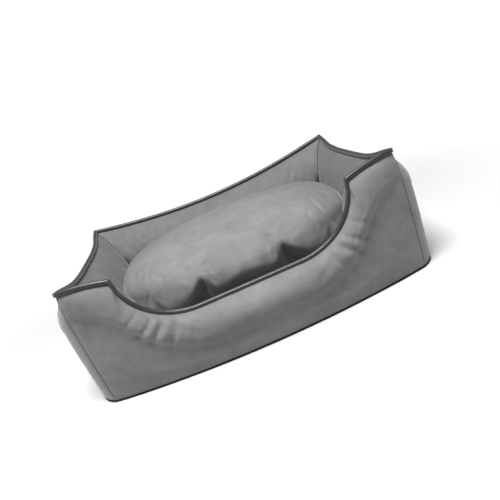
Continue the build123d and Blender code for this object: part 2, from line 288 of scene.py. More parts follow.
class Cut:
    """One upright section of a wall. A place in it is a distance out from the inner foot, and a height."""

    def __init__(self, wall, share, rim_z):
        share = min(1.0, max(-1.0, share))
        side = 1 if wall in ("back", "right") else -1
        fullness = full(share, back_flat_share if wall == "back" else 0.0)
        if wall in ("front", "back"):
            half, reach = corner_x, long_belly_reach
            self.base = foot_depth + long_base_bulge * fullness
            self.rim = foot_depth + long_rim_bulge * fullness
            aslant = foot_depth * abs(share) ** long_fan_power * (1 if share > 0 else -1)
            self.foot = Vector((corner_x * share - aslant, side * foot_y, 0))
            self.way = Vector((aslant / self.rim, side, 0))
        else:
            half, reach = corner_y, end_belly_reach
            rounding = end_corner_round * (1 - abs(share) ** end_round_power)
            self.base = foot_depth + rounding + end_base_bulge * fullness
            self.rim = foot_depth - end_rim_inset * (1 - abs(share) ** end_inset_power)
            self.foot = Vector((side * foot_x, foot_y * share, 0))
            self.way = Vector((side, (corner_y - foot_y) * share / self.base, 0))
        to_tip = (1 - abs(share)) * half
        self.rim -= tip_draw * max(0.0, 1 - to_tip / tip_reach) ** 2
        self.rim_z = rim_z
        self.reach = corner_belly_reach + (reach - corner_belly_reach) * fullness
        self.inner_belly_z = inner_belly_z * min(1.0, rim_z / back_rim_z)
        self.undercut = 0.0
        if wall == "front":
            self.belly_z = smooth_line(abs(share) * corner_x, belly_places, belly_heights, belly_shifts)
            corner_fade = min(1.0, to_tip / undercut_fade)
            depth = undercut * (undercut_even + (1 - undercut_even) * fullness)
            self.undercut = depth * corner_fade**2 * (3 - 2 * corner_fade)
        else:
            low = back_rim_z if wall == "back" else end_rim_z
            self.belly_z = belly_share * low + corner_belly_rise * (1 - fullness) ** 2

    def at(self, out, z):
        """The place at a distance out and a height."""
        place = self.foot + self.way * out
        return Vector((place.x, place.y, z))

    def drawn_in(self, z):
        """How far the outer face draws in below its belly, fading out at the foot."""
        below = self.belly_z - z - undercut_drop
        spread = undercut_above if below < 0 else undercut_below
        fading = 1 - np.exp(-(((z - base_z) / undercut_foot) ** 2))
        return self.undercut * np.exp(-((below / spread) ** 2)) * fading

    def face(self, outer, share):
        """A place on one face: 0 at the base, 1 at the seam in the piping."""
        sign, belly, belly_z, low = 1, self.base + self.reach, self.belly_z, self.base
        if not outer:
            sign, belly, belly_z, low = -1, -inner_belly_reach, self.inner_belly_z, 0.0
        radii, turns = [], []
        for end, end_z in ((low, base_z), (self.rim, self.rim_z - seam_drop)):
            reach = abs(belly - end)
            radius = (reach**2 + (end_z - belly_z) ** 2) / (2 * reach)
            radii.append(radius)
            turns.append(asin(max(-1.0, min(1.0, (end_z - belly_z) / radius))))
        lengths = [abs(turn) * radius for turn, radius in zip(turns, radii)]
        along = share * sum(lengths)
        radius = radii[along > lengths[0]]
        turn = (along - lengths[0]) / radius
        out = belly - sign * radius * (1 - cos(turn))
        z = belly_z + radius * sin(turn)
        if outer and self.undercut:
            out -= self.drawn_in(z)
        return self.at(out, z)


print("the back wall is", Cut("back", 0, back_rim_z).base, "mm thick at its foot, in the middle")

# %% [markdown]
# ## Stuffed walls
#
# Each wall of the real bed is a tube of velvet that is blown full of fibre: it is sewn along the
# base, along the piping and up each corner, and swells between those seams. A box with a bevel
# would look hard. Here a flat grid is rolled round the wall's sections into a closed skin, and
# cloth simulation with pressure blows it up from inside, held at the seams. The cloth is let out
# by a fifth of a percent, because velvet gives a little. A remesh to even squares would blunt the
# sharp corner tips, so the grid itself is simulated.


# %% Helpers for pieces
def new_piece(name, bm, material, body):
    """A mesh object from a bmesh in millimetres, riding on a body."""
    mesh = bpy.data.meshes.new(name)
    bm.to_mesh(mesh)
    bm.free()
    mesh.transform(Matrix.Scale(MM, 4))
    piece = bpy.data.objects.new(name, mesh)
    scene.collection.objects.link(piece)
    mesh.materials.append(material)
    mesh.shade_smooth()
    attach(piece, body)
    return piece


def coordinates(piece):
    """The vertices of a piece, in millimetres."""
    flat = np.empty(len(piece.data.vertices) * 3, np.float32)
    piece.data.vertices.foreach_get("co", flat)
    return flat.reshape(-1, 3).astype(float) / MM


def move_to(piece, places):
    """Moves the vertices of a piece to places in millimetres."""
    piece.data.vertices.foreach_set("co", (places * MM).astype(np.float32).ravel())
    piece.data.update()


def apply_modifiers(piece):
    """The piece keeps the mesh that its modifiers make, and loses them."""
    shown = piece.evaluated_get(bpy.context.evaluated_depsgraph_get())
    mesh = bpy.data.meshes.new_from_object(shown)
    piece.modifiers.clear()
    old = piece.data
    piece.data = mesh
    bpy.data.meshes.remove(old)
    piece.data.shade_smooth()


def divide(piece, levels=1):
    """A finer mesh, smoothed between the points of the old one."""
    modifier = piece.modifiers.new("finer", "SUBSURF")
    modifier.levels = modifier.render_levels = levels
    apply_modifiers(piece)


# %% Helpers for cloth simulation
last_frame = 20


def evened(piece, values, rounds):
    """Values at the points of a mesh, averaged with those of their neighbours again and again."""
    ends = np.empty(len(piece.data.edges) * 2, np.int32)
    piece.data.edges.foreach_get("vertices", ends)
    first, second = ends.reshape(-1, 2).T
    count = np.bincount(first, minlength=len(values)) + np.bincount(second, minlength=len(values))
    for _ in range(rounds):
        total = np.zeros_like(values)
        np.add.at(total, first, values[second])
        np.add.at(total, second, values[first])
        values = (values + total / count[:, None]) / 2
    return values


def hold(piece, held):
    """A vertex group that pins each point as firmly as held says, in ten levels."""
    group = piece.vertex_groups.new(name="held")
    for level in range(1, 11):
        members = np.nonzero(np.round(held * 10).astype(int) == level)[0]
        group.add(members.tolist(), level / 10, "REPLACE")
    return group.name


def swell(piece, held, pressure, cap_mm, larger=0.0, bending=3.0, rounds=0):
    """Cloth simulation: the skin swells, most where held is 0 and not at all where it is 1."""
    group = hold(piece, held)
    cloth = piece.modifiers.new("cloth", "CLOTH")
    settings = cloth.settings
    settings.quality = 5
    settings.mass = 0.3
    settings.tension_stiffness = settings.compression_stiffness = 15
    settings.shear_stiffness = 5
    settings.bending_stiffness = bending
    settings.use_pressure = True
    settings.uniform_pressure_force = pressure
    settings.effector_weights.gravity = 0
    settings.vertex_group_mass = group
    settings.shrink_min = -larger
    cloth.collision_settings.use_collision = False
    cloth.point_cache.frame_start, cloth.point_cache.frame_end = 1, last_frame
    before = coordinates(piece)
    for number in range(1, last_frame + 1):
        scene.frame_set(number)
    shown = piece.evaluated_get(bpy.context.evaluated_depsgraph_get())
    after = np.array([v.co for v in shown.data.vertices]) / MM
    moved = evened(piece, after - before, rounds)
    length = np.linalg.norm(moved, axis=1, keepdims=True)
    piece.modifiers.clear()
    piece.vertex_groups.clear()
    move_to(piece, before + moved * np.minimum(1, cap_mm / np.maximum(length, 1e-6)))
    scene.frame_set(1)
    print(piece.name, "swelled by up to", round(float(length.max()), 1), "mm before the cap")


# %% The skins of the walls
# The steps between columns in millimetres, and the rows on each face and across the foot
column_step, face_rows, bottom_rows = 7.0, 40, 8
# A face turned this far inwards gets the darker velvet, painted shade for the inside of the bed
turned_inwards = -0.1


def wall_skin(wall):
    """A grid rolled round the wall's sections, from the foot outside, over the rim and down inside."""
    cuts = [Cut(wall, share, rim_z) for share, rim_z in rim_places(wall, column_step)]
    ring = 2 * face_rows + bottom_rows
    bm = bmesh.new()
    crease = bm.edges.layers.float.new("crease_edge")
    bmesh.ops.create_grid(bm, x_segments=len(cuts) - 1, y_segments=ring, size=1)
    for vert in bm.verts:
        column = round((vert.co.x + 1) / 2 * (len(cuts) - 1))
        row = round((vert.co.y + 1) / 2 * ring) % ring
        cut = cuts[column]
        if row <= face_rows:
            vert.co = cut.face(True, row / face_rows)
        elif row <= 2 * face_rows:
            vert.co = cut.face(False, (2 * face_rows - row) / face_rows)
        else:
            share = (row - 2 * face_rows) / bottom_rows
            vert.co = cut.face(False, 0).lerp(cut.face(True, 0), share)
    bmesh.ops.remove_doubles(bm, verts=bm.verts, dist=0.01)
    ends = [edge for edge in bm.edges if edge.is_boundary]
    caps = bmesh.ops.holes_fill(bm, edges=ends, sides=0)["faces"]
    bmesh.ops.triangulate(bm, faces=caps)
    for edge in ends:
        edge[crease] = 1
    bmesh.ops.recalc_face_normals(bm, faces=bm.faces)
    for face in bm.faces:
        middle = face.calc_center_median()
        outwards = face.normal.x * middle.x / corner_x + face.normal.y * middle.y / corner_y
        face.material_index = int(outwards < turned_inwards)
    return bm, cuts


walls, wall_cuts = {}, {}
for wall in ("front", "right", "back", "left"):
    skin, wall_cuts[wall] = wall_skin(wall)
    walls[wall] = new_piece(f"{wall}_wall", skin, cover_velvet, "bed")
    # The inner faces take the darker velvet, which paints in their shade
    walls[wall].data.materials.append(inner_velvet_painted_shade)
    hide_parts(f"{wall}_bolster", f"{wall}_outer_panel", f"{wall}_inner_panel")
    print(wall, "wall:", len(walls[wall].data.vertices), "points")

# %% Swell the walls
# The skin is held within this distance of a seam, and less and less over the band beyond it
held_close, held_band = 1, 9


def near_line(places, line):
    """The distance from each place to the nearest point of a line."""
    line = np.array(line, float)
    best = np.full(len(places), 1e9)
    for start_at in range(0, len(line), 50):
        gaps = np.linalg.norm(places[:, None, :] - line[None, start_at : start_at + 50, :], axis=2)
        best = np.minimum(best, gaps.min(axis=1))
    return best


def rim_gap(wall, places):
    """The distance from each place to the seam in the wall's piping."""
    return near_line(places, [cut.face(True, 1) for cut in wall_cuts[wall]])


def corner_gap(places):
    """The distance from each place to the upright plane of the nearest corner seam."""
    return np.abs((corner_x - np.abs(places[:, 0])) - (corner_y - np.abs(places[:, 1]))) / sqrt(2)


for wall, piece in walls.items():
    places = coordinates(piece)
    nearest = np.minimum(np.minimum(rim_gap(wall, places), places[:, 2] - base_z), corner_gap(places))
    held = np.clip(1 - (nearest - held_close) / held_band, 0, 1)
    swell(piece, held, pressure=3.0, cap_mm=4, larger=0.002)
    divide(piece)
    piece.data.set_sharp_from_angle(angle=radians(50))

# %% [markdown]
# ## Room for the zips
#
# The bed's zip lies low in the back wall and the cushion's low in its back face. Cloth sewn to a
# zip can't swell or hollow there, and the slider's back plate runs in a shallow channel behind
# the coils. A Boolean would leave hard edges, so the points of the skin are moved: in where they
# stand out, and out where they hollow.

# %% Zip places
# How far out the skin lies behind a zip, and how much deeper the channel is between its sloped sides
skin_out, channel_depth, channel_sides = -0.8, 1.6, (9, 6.5)
# How far the flat reaches up and past the ends, and how steeply the skin may rise beyond
flat_up, flat_beyond, rise_slope = 13.0, 12, 0.3
# Points deeper than this belong to the skin's other side
deepest = -20
# Skin is drawn out on the flat and a little past it, but not right at the foot: where this fades
draw_fade, foot_fade = (3, 0), (0.4, 1.4)


def smooth_step(low, high, value):
    """0 up to the low value, 1 from the high one, and smooth between them. Either may be the larger."""
    share = np.clip((value - low) / (high - low), 0, 1)
    return share * share * (3 - 2 * share)


class ZipPlace:
    """Where a zip lies: its middle, how far its face leans, and its length."""

    def __init__(self, y, z, lean, length):
        self.middle, self.length = np.array([0, y, z]), length
        self.out = np.array([0, cos(lean), -sin(lean)])
        self.up = np.array([0, sin(lean), cos(lean)])

    def at(self, x, up, out):
        """The place at a distance along the zip, up its face and out of it."""
        return Vector(self.middle + np.array([x, 0, 0]) + self.up * up + self.out * out)

    def flatten(self, piece, lowest):
        """Brings a skin flat behind the zip. It may stand out more and more with the distance from it."""
        places = coordinates(piece)
        from_middle = places - self.middle
        aside, out = np.abs(from_middle @ self.up), from_middle @ self.out
        beyond = np.maximum(aside - flat_up, np.abs(places[:, 0]) - self.length / 2 - flat_beyond)
        face = skin_out - channel_depth * smooth_step(*channel_sides, aside) * smooth_step(1, 0, beyond)
        allowed = face + rise_slope * np.clip(beyond, 0, None)
        too_far = np.where(out > deepest, np.clip(out - allowed, 0, None), 0)
        too_near = np.where(out > deepest, np.clip(face - out, 0, None), 0)
        too_near *= smooth_step(*draw_fade, beyond) * smooth_step(*foot_fade, places[:, 2] - lowest)
        move_to(piece, places + self.out * (too_near - too_far)[:, None])
        pressed, drawn = round(float(too_far.max()), 1), round(float(too_near.max()), 1)
        print(piece.name, "pressed in by up to", pressed, "and drawn out by up to", drawn, "mm")


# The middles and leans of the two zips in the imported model
cover_zip = ZipPlace(286.54, 24.0, radians(6.44), 300.0)
cushion_zip = ZipPlace(152.44, 28.0, radians(23.51), 320.0)
cover_zip.flatten(walls["back"], base_z)

# %% [markdown]
# ## Creases and seams of the walls
#
# Where the rim curves down to the step, the cloth is drawn tight and throws short creases away
# from the piping. The panels are sewn together at the corners, so each seam lies in a narrow
# valley, and the inner faces gape a little there. A simulation puts folds where it likes, and
# sculpting by hand can't be repeated, so these are placed by rules after the simulation. Each rule
# says how far a point sinks along its own normal. The creases are alike on both halves.


# %% Helpers for creases
# The shares of a route over which its valley fades in at the start and out at the end
route_start_fade, route_end_fade = (0, 0.25), (1, 0.7)


def normals_of(piece):
    """The normals at the vertices of a piece."""
    flat = np.empty(len(piece.data.vertices) * 3, np.float32)
    piece.data.vertex_normals.foreach_get("vector", flat)
    return flat.reshape(-1, 3).astype(float)


def route_distance(across, z, route):
    """The distance from places on a face to a route drawn on it, and the share along the route."""
    best, share_there = np.full(len(across), 1e9), np.zeros(len(across))
    count = len(route) - 1
    for number, ((x0, z0), (x1, z1)) in enumerate(zip(route, route[1:])):
        length = (x1 - x0) ** 2 + (z1 - z0) ** 2
        share = np.clip(((across - x0) * (x1 - x0) + (z - z0) * (z1 - z0)) / length, 0, 1)
        gap = np.hypot(across - x0 - share * (x1 - x0), z - z0 - share * (z1 - z0))
        nearer = gap < best
        best = np.where(nearer, gap, best)
        share_there = np.where(nearer, (number + share) / count, share_there)
    return best, share_there


def valley(gap, half_width, depth):
    """The depth of a soft valley at a distance from its line."""
    return depth * np.exp(-((gap / half_width) ** 2))


def groove(across, z, route, half_width, depth):
    """A valley along a route, fading out at both ends. With a depth below 0 it is a ridge."""
    gap, share = route_distance(across, z, route)
    faded = smooth_step(*route_start_fade, share) * smooth_step(*route_end_fade, share)
    return valley(gap, half_width, depth) * faded


# %% Creases of the front wall
# Each has a route of places across and up the face, a half width and a depth
front_creases = (
    ([(201, 152), (222, 137), (262, 114)], 4.5, 2.8),
    ([(182, 139), (203, 122), (240, 92)], 5.0, 3.4),
    ([(159, 130), (172, 110), (199, 74)], 5.5, 2.8),
    ([(222, 173), (248, 159), (286, 143)], 5.0, 2.0),
    ([(128, 118), (135, 98), (150, 72)], 7.5, 1.4),
    ([(192, 145), (212, 129), (250, 103)], 5.0, -1.8),
    ([(171, 135), (188, 116), (218, 84)], 6.0, -2.0),
)
print(len(front_creases), "creases and ridges on each half of the front wall")

# %% Seams and creases on all walls
# The seams at the corners, and the gapes inside: one low in each corner, and one at each back tip
seam_half_width, seam_depth = 4.5, 1.8
gape_half_width, gape_depth, back_gape_depth = 5, 4.5, 5
# The inner and the outer face are told apart at this share of a wall's thickness
middle_share = 0.4
# Where each valley fades out, between heights or, near the rim, between distances from it
seam_rim_fade, seam_foot_fade = (3, 12), (2, 14)
gape_top_fade, gape_foot_fade = (178, 150), (8, 30)
back_gape_fade, back_gape_rim_fade = (212, 232), (1, 6)
# Where a rule for the inner faces, the back tips or the front's outer face takes hold
inner_fade, back_fade, front_fade = (-2, -6), (200, 230), (-236, -250)


def past_middle(places, wall):
    """How far places lie outside the middle of a wall's thickness: below 0 on its inner face."""
    if wall in ("front", "back"):
        return np.abs(places[:, 1]) - (foot_y + middle_share * foot_depth)
    return np.abs(places[:, 0]) - (foot_x + middle_share * foot_depth)


for wall, piece in walls.items():
    places, normals = coordinates(piece), normals_of(piece)
    z, to_corner, to_rim = places[:, 2], corner_gap(places), rim_gap(wall, places)
    inside = smooth_step(*inner_fade, past_middle(places, wall))
    at_back = smooth_step(*back_fade, places[:, 1])
    seam = valley(to_corner, seam_half_width, seam_depth)
    gape = valley(to_corner, gape_half_width, gape_depth)
    back_gape = valley(to_corner, gape_half_width, back_gape_depth)
    sunk = seam * smooth_step(*seam_rim_fade, to_rim) * smooth_step(*seam_foot_fade, z)
    sunk += gape * smooth_step(*gape_top_fade, z) * smooth_step(*gape_foot_fade, z) * inside
    back_gape = back_gape * smooth_step(*back_gape_fade, z) * smooth_step(*back_gape_rim_fade, to_rim)
    sunk += back_gape * inside * at_back
    if wall == "front":
        outside = smooth_step(*front_fade, places[:, 1])
        for route, half_width, depth in front_creases:
            sunk += groove(np.abs(places[:, 0]), z, route, half_width, depth) * outside
    move_to(piece, places - normals * sunk[:, None])
    print(piece.name, "sinks by up to", round(float(sunk.max()), 1), "mm")

# %% [markdown]
# ## Piping
#
# A cord is wrapped in a strip of velvet and caught in the seam along each rim. On the real bed
# it is one soft round edge, about 11 mm thick, that looks darker than the panels, and here its
# colour is made darker as painted shade. A Curve with a round bevel is the natural tool. It is
# turned into a mesh, because its ends are then cut on the corners' upright planes, where
# neighbours meet in a mitre at a tip.


# %% Helpers for the piping
def tube_along(points, radius, sides=20, shares=None, ring=False):
    """A tube along a line, as a closed bmesh in millimetres. Shares make it thinner point by point, and
    a ring joins its ends."""
    curve = bpy.data.curves.new("line", "CURVE")
    curve.dimensions = "3D"
    spline = curve.splines.new("POLY")
    spline.points.add(len(points) - 1)
    for number, (point, place) in enumerate(zip(spline.points, points)):
        point.co = (*place, 1)
        point.radius = shares[number] if shares else 1
    spline.use_cyclic_u = ring
    curve.bevel_depth = radius
    curve.bevel_resolution = sides // 4
    curve.use_fill_caps = True
    holder = bpy.data.objects.new("line", curve)
    scene.collection.objects.link(holder)
    shown = holder.evaluated_get(bpy.context.evaluated_depsgraph_get())
    mesh = bpy.data.meshes.new_from_object(shown)
    bm = bmesh.new()
    bm.from_mesh(mesh)
    bpy.data.objects.remove(holder)
    bpy.data.curves.remove(curve)
    bpy.data.meshes.remove(mesh)
    return bm


def cut_off(bm, at, keep_side):
    """Cuts a closed mesh on a plane and closes the cut."""
    parts = bm.verts[:] + bm.edges[:] + bm.faces[:]
    made = bmesh.ops.bisect_plane(bm, geom=parts, plane_co=at, plane_no=keep_side, clear_inner=True)
    edges = [item for item in made["geom_cut"] if isinstance(item, bmesh.types.BMEdge)]
    bmesh.ops.holes_fill(bm, edges=edges, sides=0)


# %% The piping
piping_radius, piping_step, piping_overrun = 5.5, 3.0, 14
# At a tip the piping has this share of its radius, and is cut off this far beyond its middle line
tip_radius_share, tip_blunt = 0.92, 3.5
for wall in walls:
    pipe_cuts = [Cut(wall, share, rim_z) for share, rim_z in rim_places(wall, piping_step)]
    line = [cut.at(cut.rim, cut.rim_z) for cut in pipe_cuts]
    first, last = line[0] - line[1], line[-1] - line[-2]
    first_end = line[0] + first.normalized() * piping_overrun
    last_end = line[-1] + last.normalized() * piping_overrun
    long_line = [first_end] + line + [last_end]
    to_tip = [min((place - line[0]).length, (place - line[-1]).length) for place in long_line]
    shares = [1 - (1 - tip_radius_share) * max(0, 1 - gap / tip_reach) for gap in to_tip]
    bm = tube_along(long_line, piping_radius, shares=shares)
    for cut in (pipe_cuts[0], pipe_cuts[-1]):
        normal = Vector((cut.way.y, -cut.way.x, 0))
        if normal.dot(pipe_cuts[len(line) // 2].foot - cut.foot) < 0:
            normal = -normal
        cut_off(bm, cut.foot, normal)
        outwards = Vector((cut.way.x, cut.way.y, 0)).normalized()
        cut_off(bm, cut.at(cut.rim, cut.rim_z) + outwards * tip_blunt, -outwards)
    bmesh.ops.recalc_face_normals(bm, faces=bm.faces)
    piece = new_piece(f"{wall}_rim_piping", bm, piping_cloth_painted_shade, "bed")
    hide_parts(f"{wall}_piping")
    print(piece.name, len(piece.data.polygons), "faces")

# %% [markdown]
# ## The cushion
#
# The cushion is a loose pad under a dome of velvet. A stuffed cover swells evenly on top and
# gathers where it is sewn below. A box under Subdivision Surface would come out as an egg. The
# skin starts as a ball whose points are slid onto rounded rectangles, larger and smaller with
# height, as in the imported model. It is then remeshed to even squares and blown up like the walls,
# held at the foot. A stiff cloth and evened moves keep small wrinkles away.

# %% The cushion's sizes and lines
cushion_half_length, cushion_half_width = 285.0, 177.0
cushion_foot_z, cushion_belly_z, cushion_top_z = 16.2, 146.0, 222.0
foot_inset = 30.0
# The powers of the curves: 2 is an ellipse, and a higher one is squarer. The outline gets squarer
# towards the foot, and the dome is rounder towards the front
dome_power, front_softer = 2.8, 1.0
plan_power, foot_power, square_power = 2.9, 8.0, 1.5
dome_rise = cushion_top_z - cushion_belly_z
side_rise = cushion_belly_z - cushion_foot_z
side_radius = (foot_inset**2 + side_rise**2) / (2 * foot_inset)


def dome_profile(step=1.0):
    """The cushion's profile from the middle of its foot to its crown: widths, insets and heights."""
    line = [(0, 0, cushion_foot_z), (cushion_half_width, foot_inset, cushion_foot_z)]
    for z in np.linspace(cushion_foot_z, cushion_belly_z, 40)[1:-1]:
        line.append((cushion_half_width, side_radius - sqrt(side_radius**2 - (z - cushion_belly_z) ** 2), z))
    for turn in np.radians(np.linspace(0, 90, 80)):
        narrowing, rising = (max(0.0, part(turn)) ** (2 / dome_power) for part in (cos, sin))
        line.append((cushion_half_width * narrowing, 0, cushion_belly_z + dome_rise * rising))
    return spaced(line, step)


def outline_place(width, inset, z, turn):
    """The place at a turn round the cushion's outline, which is between an ellipse and a rectangle."""
    squareness = np.clip((cushion_belly_z - z) / side_rise, 0, 1) ** square_power
    power = plan_power + (foot_power - plan_power) * squareness
    across, along = abs(cos(turn)), abs(sin(turn))
    reach = (across**power + along**power) ** (-1 / power)
    share = width / cushion_half_width
    x = (cushion_half_length * share - inset) * cos(turn) * reach
    return x, (cushion_half_width * share - inset) * sin(turn) * reach


def dome_height(width, turn):
    """The height of the dome. Towards the front it falls away sooner."""
    power = dome_power - front_softer * max(0.0, -sin(turn)) ** 2
    return cushion_belly_z + dome_rise * max(0.0, 1 - (width / cushion_half_width) ** power) ** (1 / power)


print("the cushion's profile has", len(dome_profile()), "points")


# %% The cushion's skin
def remesh(piece, voxel_mm):
    """The same skin in even squares."""
    modifier = piece.modifiers.new("even squares", "REMESH")
    modifier.mode = "VOXEL"
    modifier.voxel_size = voxel_mm * MM
    apply_modifiers(piece)


bm = bmesh.new()
bmesh.ops.create_uvsphere(bm, u_segments=120, v_segments=80, radius=1)
profile = dome_profile()
for vert in bm.verts:
    share = asin(max(-1, min(1, vert.co.z))) / pi + 0.5
    width, inset, z = profile[round(share * (len(profile) - 1))]
    turn = np.arctan2(vert.co.y, vert.co.x)
    x, y = outline_place(width, inset, z, turn)
    vert.co = (x, y, dome_height(width, turn) if z > cushion_belly_z else z)
cushion = new_piece("cushion_pad", bm, cover_velvet, "cushion")
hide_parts("cushion_fill", "cushion_top_panel", "cushion_bottom_panel")
remesh(cushion, voxel_mm=5.5)
print(cushion.name, len(cushion.data.vertices), "points")


# %% Swell the cushion and bring it to its real size
def fit_to(piece, low, high):
    """Stretches a piece a little, so that it just fills a box."""
    places = coordinates(piece)
    found_low, found_high = places.min(0), places.max(0)
    move_to(piece, low + (places - found_low) * (high - low) / (found_high - found_low))


# Held up to this height above the foot, and less and less over the band above it
foot_held, foot_band = 4, 50
above_foot = coordinates(cushion)[:, 2] - cushion_foot_z
held = np.clip(1 - (above_foot - foot_held) / foot_band, 0, 1) ** 0.5
swell(cushion, held, pressure=2.5, cap_mm=8, bending=12.0, rounds=40)
divide(cushion)
cushion_low = np.array([-cushion_half_length, -cushion_half_width, cushion_foot_z])
cushion_high = np.array([cushion_half_length, cushion_half_width, cushion_top_z])
fit_to(cushion, cushion_low, cushion_high)
cushion_zip.flatten(cushion, cushion_foot_z)
print("cushion:", coordinates(cushion).min(0).round(1), coordinates(cushion).max(0).round(1))

# %% [markdown]
# ## Folds
#
# Where the dome turns down behind the front wall, the cloth is tucked in under a wavy ledge, with
# one deep pocket on each side of the middle and a sharp crease near each end. They are placed as
# the walls' creases are, from where a point lies across and up the front.

# %% Lines of the cushion's folds
# The ledge's height at places across the front, and the shifts over which it is averaged
ledge_places = (0, 14, 30, 47, 64, 78, 90, 93, 100, 115, 135, 155, 175, 190, 203, 209, 214, 225, 290)
ledge_heights = (127, 126, 121, 114, 110, 126, 146, 151, 148, 132, 114, 104, 104, 112, 130, 136, 110, 96, 80)
ledge_shifts = (-5, -2, 0, 2, 5)
# The tuck under it: its slope, how softly it begins, what is taken off it, and how deep it can get
ledge_slope, ledge_softness, ledge_start, deepest_tuck = 0.5, 12, 1.5, 14
# A pocket begins sharply at a place across, and deepens from its top down
pocket_x, pocket_top, pocket_depth, pocket_fade = 93.0, 156.0, 11, 34
# Half its sharp edge, where its far side begins and ends, and how much wider it gets downwards
pocket_edge, pocket_floor, pocket_width, pocket_widening = 1.5, 2, 8, 0.8
# Each crease has a route of places across and up the front, a half width and a depth
cushion_creases = (
    ([(195, 200), (202, 186), (211, 163), (223, 128)], 3.2, 3.4),
    ([(203, 200), (209, 186), (217, 163), (229, 128)], 3.5, -1.6),
    ([(172, 186), (178, 165), (186, 140)], 6.0, 2.2),
    ([(232, 199), (246, 180), (256, 158)], 4.0, 1.2),
    ([(222, 204), (236, 186), (248, 164)], 4.0, 1.0),
    ([(78, 160), (72, 144), (65, 124)], 3.0, 1.5),
    ([(75, 180), (70, 165), (74, 150)], 15.0, 2.2),
    ([(112, 184), (120, 165), (128, 148)], 18.0, 1.8),
)
# Lumps below the ledge: a place across, a height, half a width, and how far they stand out
lump_half_height = 20
cushion_lumps = (
    (205, 142, 6, 1.5),
    (66, 126, 11, 5.0),
    (22, 129, 24, 7.0),
    (122, 134, 20, 5.0),
    (158, 128, 20, 4.0),
)
print(len(cushion_creases), "creases and", len(cushion_lumps), "lumps on each half of the cushion's front")


# %% Folding the cushion's front
# The folds fade in towards the front, and up the cushion
folds_front_fade, folds_height_fade = (-20, -90), (40, 90)


def front_folds(across, z):
    """How far the cloth sinks, from the distance off the middle and the height."""
    under = smooth_line(across, ledge_places, ledge_heights, ledge_shifts) - z
    tuck = ledge_slope * (np.sqrt(under**2 + ledge_softness**2) + under) / 2
    sunk = deepest_tuck * (1 - np.exp(-np.clip(tuck - ledge_start, 0, None) / deepest_tuck))
    below = pocket_top - z
    pocket = smooth_step(pocket_x - pocket_edge, pocket_x + pocket_edge, across)
    far_end = pocket_x + pocket_width + pocket_widening * np.clip(below, 0, None)
    pocket *= 1 - smooth_step(pocket_x + pocket_floor, far_end, across)
    sunk += pocket_depth * pocket * smooth_step(0, pocket_fade, below)
    for lump_x, lump_z, half_width, height in cushion_lumps:
        gap = ((across - lump_x) / half_width) ** 2 + ((z - lump_z) / lump_half_height) ** 2
        sunk -= height * np.exp(-gap)
    for route, half_width, depth in cushion_creases:
        sunk += groove(across, z, route, half_width, depth)
    return sunk


places, normals = coordinates(cushion), normals_of(cushion)
near_front = smooth_step(*folds_front_fade, places[:, 1]) * smooth_step(*folds_height_fade, places[:, 2])
sunk = front_folds(np.abs(places[:, 0]), places[:, 2]) * near_front
move_to(cushion, places - normals * sunk[:, None])
print("deepest fold:", round(float(sunk.max()), 1), "mm")

# %% [markdown]
# ## The base
#
# Under the bed is a black, grippy fabric, which shows as a dark line along the foot. Above it lie
# a felted pad and a lining, hidden by the cushion until it is lifted. A flattened cube would miss
# the curved outline. So for the fabric and the pad a face is drawn on the outline, given a
# thickness and bevelled. The lining is a fine grid with slight ripples, made solid.


# %% Materials of the base
def dotted_fabric(name, ground_dark, ground_light, dots, thread_mm, pitch_mm):
    """A coated woven fabric with rubber dots printed on it in rows."""
    material, surface = start(name, Roughness=0.75)
    place = add(material, "ShaderNodeTexCoord").outputs["Object"]
    flat = add(material, "ShaderNodeMapping", {"Vector": place, "Scale": (1, 1, 0.02)})
    rows = add(
        material, "ShaderNodeTexVoronoi", {"Vector": flat, "Scale": 1000 / pitch_mm, "Randomness": 0.0}
    )
    dot = add(
        material,
        "ShaderNodeMapRange",
        {"Value": rows, "From Min": 0.2, "From Max": 0.28, "To Min": 1.0, "To Max": 0.0},
    )
    threads = add(
        material,
        "ShaderNodeTexNoise",
        {"Vector": place, "Scale": 1000 / thread_mm, "Detail": 3, "Roughness": 0.7},
    )
    woven = add(material, "ShaderNodeBump", {"Height": threads, "Strength": 0.5, "Distance": 0.4 * MM})
    raised = add(
        material, "ShaderNodeBump", {"Height": dot, "Strength": 0.7, "Distance": 0.5 * MM, "Normal": woven}
    )
    weave = shade_between(material, threads, ground_dark, ground_light, 0.35, 0.65)
    colour = add(
        material, "ShaderNodeMix", {"Factor": dot, "A": weave, "B": linear(dots)}, data_type="RGBA"
    )
    return lay_on(material, surface, colour.outputs["Result"], raised)


def fibrous(name, dark, light, fibre_mm, depth_mm, roughness):
    """Fibres in all directions, with darker flecks: needled felt, or a fuzzy sewing thread."""
    material, surface = start(name, Roughness=roughness)
    place = add(material, "ShaderNodeTexCoord").outputs["Object"]
    fibres = add(
        material,
        "ShaderNodeTexNoise",
        {"Vector": place, "Scale": 1000 / fibre_mm, "Detail": 5, "Roughness": 0.75, "Distortion": 1.5},
    )
    relief = add(material, "ShaderNodeBump", {"Height": fibres, "Strength": 0.7, "Distance": depth_mm * MM})
    return lay_on(material, surface, shade_between(material, fibres, dark, light, 0.35, 0.65), relief)


# Rubber-dotted polyester is sold as anti-slip base cloth. It is matt black with rows of raised dots
grip_fabric = dotted_fabric("rubber_dotted_polyester_base_cloth", "121213", "1d1d1e", "0b0b0c", 0.9, 7.0)
# Needled felt is pressed from loose fibre. It is dull, cream-coloured and finely matted
felt = fibrous("needled_polyester_felt", "b9b3a4", "d6d2c6", 2.5, 0.8, 0.95)
print("base:", grip_fabric.name, felt.name)


